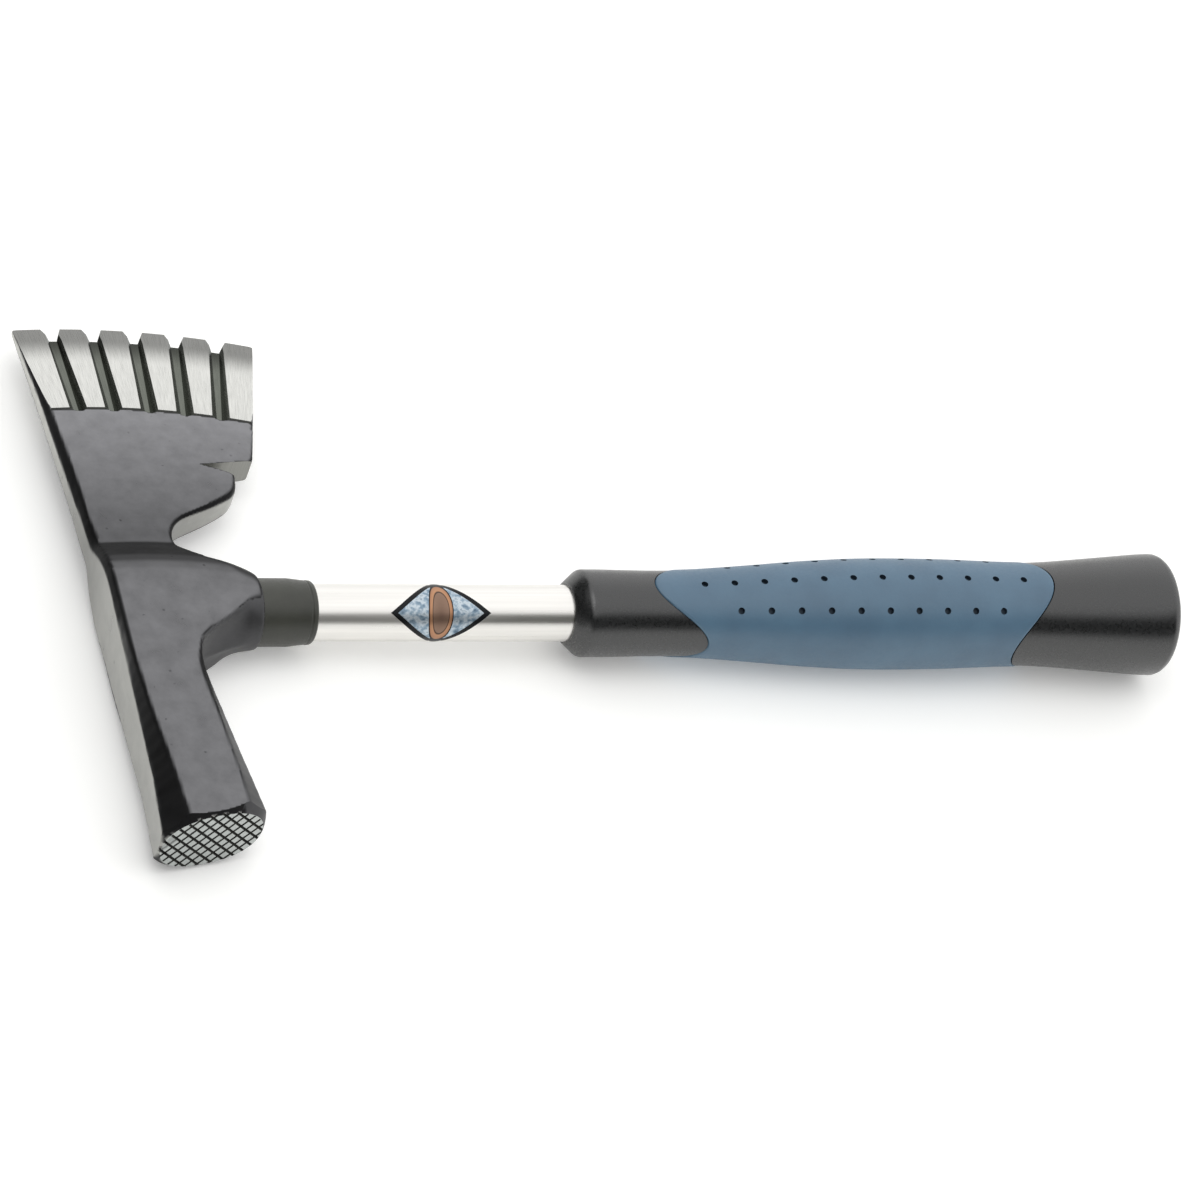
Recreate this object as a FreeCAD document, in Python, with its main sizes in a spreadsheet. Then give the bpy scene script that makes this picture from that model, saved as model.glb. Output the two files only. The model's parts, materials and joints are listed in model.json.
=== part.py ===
import FreeCAD, Part
import os

import Sketcher

# Toothed mason's hatchet on a steel tube handle with a two-part moulded grip.
# Modelling frame: X runs along the handle from the crown of the head to the butt,
# Y runs from the striking face to the toothed blade, Z is the thickness of the head.
# The handle axis is the X axis; every body is then placed so that the origin is the
# middle of the underside of the tool as it lies on its side.

doc = FreeCAD.newDocument("toothed_hatchet")
dims = doc.addObject("Spreadsheet::Sheet", "dims")

DIMENSIONS = [
    # head, plan view: blade edge, bevel and grooves share one centre
    ("fan_x", "14", "centre of the blade arcs along the handle"),
    ("fan_y", "-118.5", "centre of the blade arcs towards the striking face"),
    ("edge_radius", "225", "cutting edge"),
    ("toe_angle", "5.2", "blade corner at the crown, degrees from the centre line"),
    ("heel_angle", "12.95", "blade corner at the handle side, degrees"),
    ("lip_radius", "175", "where the handle side of the blade meets the nail notch"),
    ("toe_x", "=fan_x - edge_radius * sin(toe_angle)", ""),
    ("toe_y", "=fan_y + edge_radius * cos(toe_angle)", ""),
    ("heel_x", "=fan_x + edge_radius * sin(heel_angle)", ""),
    ("heel_y", "=fan_y + edge_radius * cos(heel_angle)", ""),
    ("lip_x", "=fan_x + lip_radius * sin(heel_angle)", ""),
    ("lip_y", "=fan_y + lip_radius * cos(heel_angle)", ""),
    ("crown_bend_x", "-1.1", "crown starts to lean outwards into the blade"),
    ("crown_bend_y", "34", ""),
    ("hub_crown_y", "8", ""),
    ("notch_tip_x", "37.2", "point of the V notch for pulling nails"),
    ("notch_tip_y", "51.2", ""),
    ("lobe_x", "45.9", "lower lip of the notch"),
    ("lobe_y", "46.6", ""),
    ("lobe_radius", "5.8", ""),
    ("beard_x", "43.2", "end of the rounded lip, start of the beard"),
    ("beard_y", "38.6", ""),
    ("throat_x", "27", "hollow between the beard and the socket"),
    ("throat_y", "31", ""),
    ("throat_radius", "6", ""),
    ("socket_root_x", "25.2", ""),
    ("socket_root_y", "19.6", ""),
    ("neck_x", "20.9", "where the poll leaves the hub"),
    ("neck_y", "-24", ""),
    ("face_right_x", "29.5", "striking face, handle side"),
    ("face_right_y", "-77", ""),
    ("face_left_x", "-1.2", "striking face, crown side"),
    ("face_left_y", "-83.1", ""),
    ("poll_crown_y", "-62", ""),
    # head, half thicknesses against the distance from the blade centre
    ("cheek_half", "11", "hub and poll"),
    ("hub_radius", "128", "end of the full thickness"),
    ("root_radius", "139.1", "root of the thin blade"),
    ("root_half", "5.6", ""),
    ("bevel_radius", "191.6", "start of the ground bevel"),
    ("bevel_half", "3.6", ""),
    ("tip_radius", "220", "start of the short tip bevel"),
    ("tip_half", "1.2", ""),
    ("edge_half", "0.35", ""),
    ("clearance", "6", "how far cutting shapes stand outside the metal"),
    # grooves that divide the edge into teeth
    ("groove_count", "5", ""),
    ("groove_pitch", "3.1", "degrees between grooves"),
    ("groove_first", "2.3", "first groove, degrees from the centre line to the toe"),
    ("groove_start", "188", "distance of the groove's upper end from the blade centre"),
    ("groove_slope", "6.63", "degrees"),
    ("groove_zero", "220.4", "distance at which the floors of both sides meet"),
    ("groove_floor_half", "1.7", ""),
    ("groove_top_half", "4.7", "half width 3 mm above the floor"),
    ("groove_height", "3", ""),
    ("groove_length", "45", ""),
    # poll corners and striking face
    ("corner_start_y", "-16", ""),
    ("corner_start_cut", "1.8", ""),
    ("corner_end_y", "-84", ""),
    ("corner_end_cut_x", "6.4", ""),
    ("corner_end_cut_z", "5.2", ""),
    ("face_chamfer", "1.3", ""),
    # socket
    ("socket_start_x", "15", ""),
    ("socket_start_half", "19.6", ""),
    ("socket_start_cut", "3", "corner of the eight-sided section"),
    ("socket_mid_x", "30", ""),
    ("socket_mid_half", "15.4", ""),
    ("socket_mid_cut", "5", ""),
    ("socket_neck_x", "38.4", ""),
    ("socket_neck_half", "12", ""),
    ("socket_neck_half_z", "10.6", ""),
    ("socket_neck_cut", "5.6", ""),
    ("socket_end_x", "43.2", ""),
    ("socket_end_half", "10.4", ""),
    ("socket_end_cut", "4.4", ""),
    ("eye_end_x", "7", "blind end of the eye"),
    ("eye_flare_x", "21", "start of the flare that locks the tube"),
    ("eye_flare_radius", "8.9", ""),
    # handle tube
    ("tube_radius", "8", ""),
    ("tube_wall", "1.5", ""),
    ("tube_bore", "=tube_radius - tube_wall", ""),
    ("tube_end_x", "300", ""),
    ("wedge_end_x", "20", ""),
    ("wedge_end_radius", "6.45", ""),
    # protective collar
    ("collar_start_x", "40.2", ""),
    ("collar_radius", "9.5", ""),
    ("collar_taper_x", "52.6", ""),
    ("collar_step_x", "57.6", ""),
    ("collar_step_radius", "8.9", ""),
    ("collar_end_x", "59.2", ""),
    ("collar_end_radius", "8.35", ""),
    # grip outline: distance along the handle and radius
    ("grip_start_x", "134.8", ""),
    ("grip_start_radius", "8.4", ""),
    ("ring_x", "139.3", ""),
    ("ring_radius", "12.35", ""),
    ("waist_x", "161", ""),
    ("waist_radius", "12.15", ""),
    ("swell_x", "182", ""),
    ("swell_radius", "12.9", ""),
    ("rise_x", "200", ""),
    ("rise_radius", "14.3", ""),
    ("palm_x", "222", ""),
    ("palm_radius", "15.65", ""),
    ("palm_end_x", "250", ""),
    ("palm_end_radius", "15.6", ""),
    ("hollow_x", "274", ""),
    ("hollow_radius", "14.95", ""),
    ("flare_x", "292", ""),
    ("flare_radius", "15.75", ""),
    ("butt_x", "316", ""),
    ("butt_radius", "17.75", ""),
    ("butt_round", "3", ""),
    ("butt_end_x", "321", ""),
    ("plug_head", "2", "thickness of the tube plug's head"),
    ("plug_length", "10", ""),
    # soft part of the grip
    ("sleeve_depth", "1.6", ""),
    ("sleeve_front_tip", "158.7", "front tongue on the cheek side"),
    ("sleeve_front_mid", "164.6", ""),
    ("sleeve_front_valley", "175", ""),
    ("sleeve_rear_tip", "281.8", ""),
    ("sleeve_rear_mid", "277.6", ""),
    ("sleeve_rear_valley", "270", ""),
    ("sleeve_mid_share", "0.6", "part of the grip's radius at which the tongue's sides bend"),
    # foil label on the tube
    ("label_x", "95", ""),
    ("label_half_length", "14.8", ""),
    ("label_half_width", "7.85", ""),
    ("label_thickness", "0.15", ""),
    ("label_start_x", "=label_x - label_half_length - 1", ""),
    ("label_end_x", "=label_x + label_half_length + 1", ""),
    ("label_turn", "41.5", "degrees from the cheek side towards the striking face"),
    # place of the finished tool: origin under the middle of its box
    ("lowest_y", "=face_left_y + 0.25", "the face chamfer takes the corner's tip away"),
    ("place_x", "=-(butt_end_x + toe_x) / 2", ""),
    ("place_y", "=-(fan_y + edge_radius + lowest_y) / 2", ""),
    ("place_z", "=butt_radius", ""),
]

for row, (alias, content, note) in enumerate(DIMENSIONS, start=1):
    dims.set(f"A{row}", alias)
    dims.set(f"B{row}", content)
    dims.set(f"C{row}", note)
    dims.setAlias(f"B{row}", alias)
doc.recompute()

X_AXIS = FreeCAD.Vector(1, 0, 0)
Y_AXIS = FreeCAD.Vector(0, 1, 0)
Z_AXIS = FreeCAD.Vector(0, 0, 1)


def value(expression):
    """Number that an expression on the sheet gives now."""
    return float(dims.evalExpression(expression.replace("dims.", "")))


def set_in_place(thing):
    """Puts a finished object where the tool lies with its origin underneath."""
    thing.setExpression(".Placement.Base.x", "dims.place_x")
    thing.setExpression(".Placement.Base.y", "dims.place_y")
    thing.setExpression(".Placement.Base.z", "dims.place_z")


def new_body(name):
    body = doc.addObject("PartDesign::Body", name)
    set_in_place(body)
    return body


def origin_plane(body, role):
    return next(item for item in body.Origin.OriginFeatures if item.Role == role)


def arc_middle(start, end, radius):
    """Middle of the arc between two points; a positive radius bulges to the right."""
    chord = end - start
    side = FreeCAD.Vector(chord.y, -chord.x, 0).normalize()
    half = chord.Length / 2
    rise = abs(radius) - (radius * radius - half * half) ** 0.5
    return (start + end) * 0.5 + side * (rise if radius > 0 else -rise)


def outline(body, name, plane, corners, arcs=None, offset=None):
    """Closed sketch through corners given as pairs of expressions on the sheet.

    arcs maps the number of an edge to the expression of its signed radius.
    """
    arcs = arcs or {}
    sketch = body.newObject("Sketcher::SketchObject", name)
    sketch.AttachmentSupport = [(origin_plane(body, plane), "")]
    sketch.MapMode = "FlatFace"
    if offset is not None:
        sketch.AttachmentOffset = offset
    points = [FreeCAD.Vector(value(across), value(up), 0) for across, up in corners]
    ends = []
    for index, start in enumerate(points):
        end = points[(index + 1) % len(points)]
        if index in arcs:
            middle = arc_middle(start, end, value(arcs[index]))
            sketch.addGeometry(Part.Arc(start, middle, end), False)
            swapped = sketch.getPoint(index, 1).distanceToPoint(start) > 1e-6
            ends.append((2, 1) if swapped else (1, 2))
        else:
            sketch.addGeometry(Part.LineSegment(start, end), False)
            ends.append((1, 2))
    for index in range(len(points)):
        following = (index + 1) % len(points)
        sketch.addConstraint(Sketcher.Constraint(
            "Coincident", index, ends[index][1], following, ends[following][0]))
    for index, (point, corner) in enumerate(zip(points, corners)):
        for kind, size, expression in (("DistanceX", point.x, corner[0]),
                                       ("DistanceY", point.y, corner[1])):
            number = sketch.addConstraint(Sketcher.Constraint(
                kind, -1, 1, index, ends[index][0], size))
            sketch.setExpression(f"Constraints[{number}]", expression)
    for index, expression in arcs.items():
        number = sketch.addConstraint(Sketcher.Constraint(
            "Radius", index, abs(value(expression))))
        sketch.setExpression(f"Constraints[{number}]", f"abs({expression})")
    return sketch


def turned(body, name, profile, arcs=None):
    """Body of revolution about the handle axis from a half profile."""
    sketch = outline(body, f"{name}_profile", "XY_Plane", profile, arcs)
    turning = body.newObject("PartDesign::Revolution", f"{name}_turned")
    turning.Profile = sketch
    turning.ReferenceAxis = (sketch, ["H_Axis"])
    turning.Angle = 360


def both(*names):
    """Corner whose two coordinates are values of the sheet."""
    return tuple(f"dims.{name}" for name in names)


# ---------------------------------------------------------------- head

def head_plan(body):
    corners = [
        ("0", "dims.hub_crown_y"),
        both("crown_bend_x", "crown_bend_y"),
        both("toe_x", "toe_y"),
        both("heel_x", "heel_y"),
        both("lip_x", "lip_y"),
        both("notch_tip_x", "notch_tip_y"),
        both("lobe_x", "lobe_y"),
        both("beard_x", "beard_y"),
        both("throat_x", "throat_y"),
        both("socket_root_x", "socket_root_y"),
        ("dims.socket_root_x", "-dims.socket_start_half"),
        both("neck_x", "neck_y"),
        both("face_right_x", "face_right_y"),
        both("face_left_x", "face_left_y"),
        ("0", "dims.poll_crown_y"),
    ]
    arcs = {2: "-dims.edge_radius", 6: "-dims.lobe_radius", 8: "dims.throat_radius"}
    sketch = outline(body, "head_plan", "XY_Plane", corners, arcs)
    pad = body.newObject("PartDesign::Pad", "head_blank")
    pad.Profile = sketch
    pad.SideType = "Symmetric"
    pad.setExpression("Length", "2 * dims.cheek_half")


def blade_thickness(body):
    """Turned cuts that thin the blade on both sides about the blade centre."""
    centre = FreeCAD.Placement(
        FreeCAD.Vector(value("dims.fan_y"), 0, value("dims.fan_x")), FreeCAD.Rotation())
    for side, sign in (("upper", ""), ("lower", "-")):
        outside = f"{sign}(dims.cheek_half + dims.clearance)"
        corners = [
            ("dims.hub_radius", outside),
            ("dims.hub_radius", f"{sign}dims.cheek_half"),
            ("dims.root_radius", f"{sign}dims.root_half"),
            ("dims.bevel_radius", f"{sign}dims.bevel_half"),
            ("dims.tip_radius", f"{sign}dims.tip_half"),
            ("dims.edge_radius", f"{sign}dims.edge_half"),
            ("dims.edge_radius + dims.clearance", f"{sign}dims.edge_half"),
            ("dims.edge_radius + dims.clearance", outside),
        ]
        sketch = outline(body, f"thickness_{side}", "YZ_Plane", corners, offset=centre)
        cut = body.newObject("PartDesign::Groove", f"thinning_{side}")
        cut.Profile = sketch
        cut.ReferenceAxis = (sketch, ["V_Axis"])
        cut.Angle = 360


def socket(body):
    """Socket that tapers from the hub to the collar."""
    stations = [
        ("socket_start_x", "socket_start_half", "cheek_half", "socket_start_cut"),
        ("socket_mid_x", "socket_mid_half", "cheek_half", "socket_mid_cut"),
        ("socket_neck_x", "socket_neck_half", "socket_neck_half_z", "socket_neck_cut"),
        ("socket_end_x", "socket_end_half", "socket_end_half", "socket_end_cut"),
    ]
    sections = []
    for place, half_y, half_z, cut in stations:
        flat_y = f"(dims.{half_y} - dims.{cut})"
        flat_z = f"(dims.{half_z} - dims.{cut})"
        corners = [
            (f"dims.{half_y}", f"-{flat_z}"), (f"dims.{half_y}", flat_z),
            (flat_y, f"dims.{half_z}"), (f"-{flat_y}", f"dims.{half_z}"),
            (f"-dims.{half_y}", flat_z), (f"-dims.{half_y}", f"-{flat_z}"),
            (f"-{flat_y}", f"-dims.{half_z}"), (flat_y, f"-dims.{half_z}"),
        ]
        offset = FreeCAD.Placement(
            FreeCAD.Vector(0, 0, value(f"dims.{place}")), FreeCAD.Rotation())
        sections.append(outline(body, f"{place}_section", "YZ_Plane", corners, offset=offset))
    loft = body.newObject("PartDesign::AdditiveLoft", "socket")
    loft.Profile = sections[0]
    loft.Sections = sections[1:]
    loft.Ruled = True


def poll_corners(body):
    """Long chamfers of the poll, which widen towards the striking face."""
    lean = "(dims.face_right_x - dims.neck_x) / (dims.neck_y - dims.face_right_y)"
    starts = {"crown": "0", "handle": f"(dims.neck_x + (dims.neck_y - %s) * {lean})"}
    for side in ("crown", "handle"):
        inward = 1 if side == "crown" else -1
        for cheek, up in (("upper", 1), ("lower", -1)):
            sections = []
            for place, cut_x, cut_z in (
                    ("corner_start_y", "corner_start_cut", "corner_start_cut"),
                    ("corner_end_y", "corner_end_cut_x", "corner_end_cut_z")):
                edge = starts[side] % f"dims.{place}" if side == "handle" else "0"
                beyond = f"{edge} - {inward} * dims.clearance"
                reach = f"dims.clearance * dims.{cut_z} / dims.{cut_x}"
                over = f"dims.clearance * dims.{cut_x} / dims.{cut_z}"
                corners = [
                    (beyond, f"{up} * (dims.cheek_half - dims.{cut_z} - {reach})"),
                    (f"{edge} + {inward} * (dims.{cut_x} + {over})",
                     f"{up} * (dims.cheek_half + dims.clearance)"),
                    (beyond, f"{up} * (dims.cheek_half + dims.clearance)"),
                ]
                offset = FreeCAD.Placement(
                    FreeCAD.Vector(0, 0, -value(f"dims.{place}")), FreeCAD.Rotation())
                sections.append(outline(
                    body, f"{side}_{cheek}_{place}", "XZ_Plane", corners, offset=offset))
            cut = body.newObject("PartDesign::SubtractiveLoft", f"corner_{side}_{cheek}")
            cut.Profile = sections[0]
            cut.Sections = sections[1:]
            cut.Ruled = True


def teeth(body):
    """Grooves on both sides of the bevel; each pair opens into a gap at the edge."""
    slope = value("dims.groove_slope")
    start = value("dims.groove_start")
    floor = value("(dims.groove_zero - dims.groove_start) * tan(dims.groove_slope)")
    corners = [
        ("-dims.groove_floor_half", "0"),
        ("dims.groove_floor_half", "0"),
        ("dims.groove_top_half", "dims.groove_height"),
        ("-dims.groove_top_half", "dims.groove_height"),
    ]
    pockets = []
    for side, up in (("upper", 1), ("lower", -1)):
        tilt = FreeCAD.Rotation(X_AXIS, 90 - slope)
        if up < 0:
            tilt = FreeCAD.Rotation(Y_AXIS, 180) * tilt
        from_centre = FreeCAD.Placement(FreeCAD.Vector(0, start, up * floor), tilt)
        centre = FreeCAD.Placement(
            FreeCAD.Vector(value("dims.fan_x"), value("dims.fan_y"), 0),
            FreeCAD.Rotation(Z_AXIS, value("dims.groove_first")))
        sketch = outline(body, f"groove_{side}_section", "XY_Plane", corners,
                         offset=centre * from_centre)
        pocket = body.newObject("PartDesign::Pocket", f"groove_{side}")
        pocket.Profile = sketch
        pocket.setExpression("Length", "dims.groove_length")
        pockets.append(pocket)
    axis_sketch = body.newObject("Sketcher::SketchObject", "blade_centre")
    axis_sketch.AttachmentSupport = [(origin_plane(body, "XY_Plane"), "")]
    axis_sketch.MapMode = "FlatFace"
    axis_sketch.AttachmentOffset = FreeCAD.Placement(
        FreeCAD.Vector(value("dims.fan_x"), value("dims.fan_y"), 0), FreeCAD.Rotation())
    doc.recompute()
    pattern = body.newObject("PartDesign::PolarPattern", "teeth")
    pattern.Originals = pockets
    pattern.Axis = (axis_sketch, ["N_Axis"])
    pattern.Reversed = True
    pattern.setExpression("Angle", "(dims.groove_count - 1) * dims.groove_pitch")
    pattern.setExpression("Occurrences", "dims.groove_count")
    body.Tip = pattern


def eye(body):
    """Blind bore for the tube, flared at its end, with a seat for the collar."""
    profile = [
        ("dims.eye_end_x", "0"),
        ("dims.eye_end_x", "dims.eye_flare_radius"),
        ("dims.eye_flare_x", "dims.tube_radius"),
        ("dims.collar_start_x", "dims.tube_radius"),
        ("dims.collar_start_x", "dims.collar_radius"),
        ("dims.socket_end_x + dims.clearance", "dims.collar_radius"),
        ("dims.socket_end_x + dims.clearance", "0"),
    ]
    sketch = outline(body, "eye_profile", "XY_Plane", profile)
    bore = body.newObject("PartDesign::Groove", "eye")
    bore.Profile = sketch
    bore.ReferenceAxis = (sketch, ["H_Axis"])
    bore.Angle = 360


def striking_face(body):
    """Chamfer round the striking face."""
    doc.recompute()
    base = body.Tip
    lowest = min(range(len(base.Shape.Faces)),
                 key=lambda number: base.Shape.Faces[number].CenterOfMass.y)
    chamfer = body.newObject("PartDesign::Chamfer", "face_edge")
    chamfer.Base = (base, [f"Face{lowest + 1}"])
    chamfer.setExpression("Size", "dims.face_chamfer")


head = new_body("head")
head_plan(head)
blade_thickness(head)
socket(head)
poll_corners(head)
teeth(head)
eye(head)
striking_face(head)

# ---------------------------------------------------------------- tube and its plugs

handle_tube = new_body("handle_tube")
turned(handle_tube, "tube", [
    ("dims.eye_end_x", "dims.eye_flare_radius - dims.tube_wall"),
    ("dims.eye_end_x", "dims.eye_flare_radius"),
    ("dims.eye_flare_x", "dims.tube_radius"),
    ("dims.tube_end_x", "dims.tube_radius"),
    ("dims.tube_end_x", "dims.tube_bore"),
    ("dims.eye_flare_x", "dims.tube_bore"),
])

eye_wedge = new_body("eye_wedge")
turned(eye_wedge, "wedge", [
    ("dims.eye_end_x", "0"),
    ("dims.eye_end_x", "dims.eye_flare_radius - dims.tube_wall"),
    ("dims.wedge_end_x", "dims.wedge_end_radius"),
    ("dims.wedge_end_x", "0"),
])

tube_end_plug = new_body("tube_end_plug")
turned(tube_end_plug, "plug", [
    ("dims.tube_end_x - dims.plug_length", "0"),
    ("dims.tube_end_x - dims.plug_length", "dims.tube_bore"),
    ("dims.tube_end_x", "dims.tube_bore"),
    ("dims.tube_end_x", "dims.tube_radius"),
    ("dims.tube_end_x + dims.plug_head", "dims.tube_radius"),
    ("dims.tube_end_x + dims.plug_head", "0"),
])

collar = new_body("collar")
turned(collar, "collar", [
    ("dims.collar_start_x", "dims.tube_radius"),
    ("dims.collar_start_x", "dims.collar_radius"),
    ("dims.collar_taper_x", "dims.collar_radius"),
    ("dims.collar_step_x", "dims.collar_step_radius"),
    ("dims.collar_end_x", "dims.collar_end_radius"),
    ("dims.collar_end_x", "dims.tube_radius"),
])

# ---------------------------------------------------------------- grip

GRIP_OUTLINE = ["waist", "swell", "rise", "palm", "palm_end", "hollow", "flare"]

grip_blank = new_body("grip_blank")
turned(grip_blank, "grip", [
    ("dims.grip_start_x", "dims.tube_radius"),
    ("dims.grip_start_x", "dims.grip_start_radius"),
    ("dims.ring_x", "dims.ring_radius"),
    *[(f"dims.{station}_x", f"dims.{station}_radius") for station in GRIP_OUTLINE],
    ("dims.butt_x", "dims.butt_radius"),
    ("dims.butt_end_x - dims.butt_round", "dims.butt_radius"),
    ("dims.butt_end_x", "dims.butt_radius - dims.butt_round"),
    ("dims.butt_end_x", "0"),
    ("dims.tube_end_x + dims.plug_head", "0"),
    ("dims.tube_end_x + dims.plug_head", "dims.tube_radius"),
])

sleeve_blank = new_body("sleeve_blank")
turned(sleeve_blank, "sleeve", [
    ("dims.ring_x", "dims.ring_radius - dims.sleeve_depth"),
    ("dims.ring_x", "dims.ring_radius"),
    *[(f"dims.{station}_x", f"dims.{station}_radius") for station in GRIP_OUTLINE],
    *[(f"dims.{station}_x", f"dims.{station}_radius - dims.sleeve_depth")
      for station in reversed(GRIP_OUTLINE)],
])

sleeve_field = new_body("sleeve_field")
field_plan = [
    ("dims.sleeve_front_tip", "0"),
    ("dims.sleeve_front_mid", "-dims.sleeve_mid_share * dims.waist_radius"),
    ("dims.sleeve_front_valley", "-dims.waist_radius"),
    ("dims.sleeve_front_valley", "-2 * dims.palm_radius"),
    ("dims.sleeve_rear_valley", "-2 * dims.palm_radius"),
    ("dims.sleeve_rear_valley", "-dims.hollow_radius"),
    ("dims.sleeve_rear_mid", "-dims.sleeve_mid_share * dims.hollow_radius"),
    ("dims.sleeve_rear_tip", "0"),
    ("dims.sleeve_rear_mid", "dims.sleeve_mid_share * dims.hollow_radius"),
    ("dims.sleeve_rear_valley", "dims.hollow_radius"),
    ("dims.sleeve_rear_valley", "2 * dims.palm_radius"),
    ("dims.sleeve_front_valley", "2 * dims.palm_radius"),
    ("dims.sleeve_front_valley", "dims.waist_radius"),
    ("dims.sleeve_front_mid", "dims.sleeve_mid_share * dims.waist_radius"),
]
field_pad = sleeve_field.newObject("PartDesign::Pad", "field")
field_pad.Profile = outline(sleeve_field, "field_plan", "XY_Plane", field_plan)
field_pad.SideType = "Symmetric"
field_pad.setExpression("Length", "4 * dims.palm_radius")

grip_sleeve = doc.addObject("Part::Common", "grip_sleeve")
grip_sleeve.Base = sleeve_blank
grip_sleeve.Tool = sleeve_field

grip_core = doc.addObject("Part::Cut", "grip_core")
grip_core.Base = grip_blank
grip_core.Tool = grip_sleeve

# ---------------------------------------------------------------- label

label_ring = new_body("label_ring")
turned(label_ring, "label", [
    ("dims.label_start_x", "dims.tube_radius"),
    ("dims.label_start_x", "dims.tube_radius + dims.label_thickness"),
    ("dims.label_end_x", "dims.tube_radius + dims.label_thickness"),
    ("dims.label_end_x", "dims.tube_radius"),
])

label_field = new_body("label_field")
label_pad = label_field.newObject("PartDesign::Pad", "label_diamond")
label_pad.Profile = outline(label_field, "label_plan", "XY_Plane", [
    ("dims.label_x - dims.label_half_length", "0"),
    ("dims.label_x", "-dims.label_half_width"),
    ("dims.label_x + dims.label_half_length", "0"),
    ("dims.label_x", "dims.label_half_width"),
], offset=FreeCAD.Placement(FreeCAD.Vector(), FreeCAD.Rotation(X_AXIS, value("dims.label_turn"))))
label_pad.setExpression("Length", "2 * dims.tube_radius")

label_foil = doc.addObject("Part::Common", "label_foil")
label_foil.Base = label_ring
label_foil.Tool = label_field

# ---------------------------------------------------------------- checks and files

doc.recompute()

SUB_PARTS = [head, handle_tube, eye_wedge, tube_end_plug, collar, grip_core, grip_sleeve, label_foil]

for item in doc.Objects:
    if "Invalid" in item.State or "Error" in item.State:
        raise RuntimeError(f"{item.Name} did not build: {item.State}")
for part in SUB_PARTS:
    part.Label = part.Name
    shape = part.Shape
    if shape.isNull() or not shape.isValid() or len(shape.Solids) != 1:
        raise RuntimeError(f"{part.Label} is not one valid solid")

os.makedirs("parts", exist_ok=True)
for part in SUB_PARTS:
    part.Shape.exportStep(f"parts/{part.Label}.step")
    box = part.Shape.BoundBox
    print(f"{part.Label:14s} {part.Shape.Volume / 1000:8.2f} cm3  "
          f"X {box.XMin:7.1f} {box.XMax:7.1f}  Y {box.YMin:7.1f} {box.YMax:7.1f}  "
          f"Z {box.ZMin:6.1f} {box.ZMax:6.1f}")
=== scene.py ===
import json
import math

import bpy
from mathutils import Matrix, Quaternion, Vector

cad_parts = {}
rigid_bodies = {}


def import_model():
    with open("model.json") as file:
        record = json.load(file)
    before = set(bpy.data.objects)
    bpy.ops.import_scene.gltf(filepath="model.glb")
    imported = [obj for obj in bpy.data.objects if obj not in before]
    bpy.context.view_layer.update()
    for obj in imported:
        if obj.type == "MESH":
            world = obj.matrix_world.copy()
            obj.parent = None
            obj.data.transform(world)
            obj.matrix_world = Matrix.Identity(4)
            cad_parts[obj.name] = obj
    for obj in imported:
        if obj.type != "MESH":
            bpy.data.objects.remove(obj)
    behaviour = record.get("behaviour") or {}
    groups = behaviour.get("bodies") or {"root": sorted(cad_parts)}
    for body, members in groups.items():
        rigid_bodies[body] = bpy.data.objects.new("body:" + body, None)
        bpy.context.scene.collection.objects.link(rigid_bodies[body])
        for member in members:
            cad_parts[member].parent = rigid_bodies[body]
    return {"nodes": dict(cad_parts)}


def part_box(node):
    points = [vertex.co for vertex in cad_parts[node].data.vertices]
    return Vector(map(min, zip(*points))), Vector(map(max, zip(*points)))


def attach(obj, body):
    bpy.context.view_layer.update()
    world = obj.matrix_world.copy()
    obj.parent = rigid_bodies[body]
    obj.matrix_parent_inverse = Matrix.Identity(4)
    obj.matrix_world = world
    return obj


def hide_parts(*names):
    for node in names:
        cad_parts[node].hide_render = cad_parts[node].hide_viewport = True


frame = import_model()

bl_info = {
    "name": "Toothed Hatchet",
    "version": (1, 0, 0),
    "blender": (4, 5, 0),
    "location": "3D View > Sidebar > Hatchet",
    "description": "Models a forged mason's hatchet with a steel tube handle and a two-part moulded grip",
    "category": "Object",
}

# Every shape is modelled in the tool's own frame, in millimetres: X runs along the handle
# from the crown of the head to the butt, Y from the striking face to the toothed blade, and
# Z is the thickness of the head. set_down() then puts it where the CAD frame has it.
MM = 0.001
EYE_END = 7.0
TUBE_LOW, TUBE_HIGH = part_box("handle_tube")
GRIP_LOW, GRIP_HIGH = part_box("grip_core")
HEAD_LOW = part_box("head")[0]
ORIGIN = Vector((TUBE_LOW.x - EYE_END * MM, (TUBE_LOW.y + TUBE_HIGH.y) / 2, (TUBE_LOW.z + TUBE_HIGH.z) / 2))

# ---------------------------------------------------------------- head
FAN = (14.0, -118.5)
EDGE_RADIUS = 225.0
BEVEL_RADIUS = 191.6
TIP_RADIUS = 220.0
CHEEK = 11.0
BLADE_PROFILE = ((121.5, 11.07), (125.0, 10.8), (128.5, 10.15), (132.0, 9.1), (135.5, 7.6),
                 (139.1, 5.65), (150.0, 5.2), (191.6, 3.6), (230.0, 2.1))
TOE_ANGLE = 5.2
HEEL_ANGLE = 12.95
HEEL_FOOT = (53.55, 53.9)
GROOVES = 5
GROOVE_FIRST = -2.3
GROOVE_PITCH = 3.1
NOTCH = ((37.2, 51.3), (44.0, 52.0), (60.0, 53.8), (60.0, 36.0), (47.6, 46.2), (45.0, 48.2), (41.6, 49.7))
FACE_MIDDLE = (14.15, -80.05)
FACE_TILT = math.atan2(6.1, 30.7)

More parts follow.
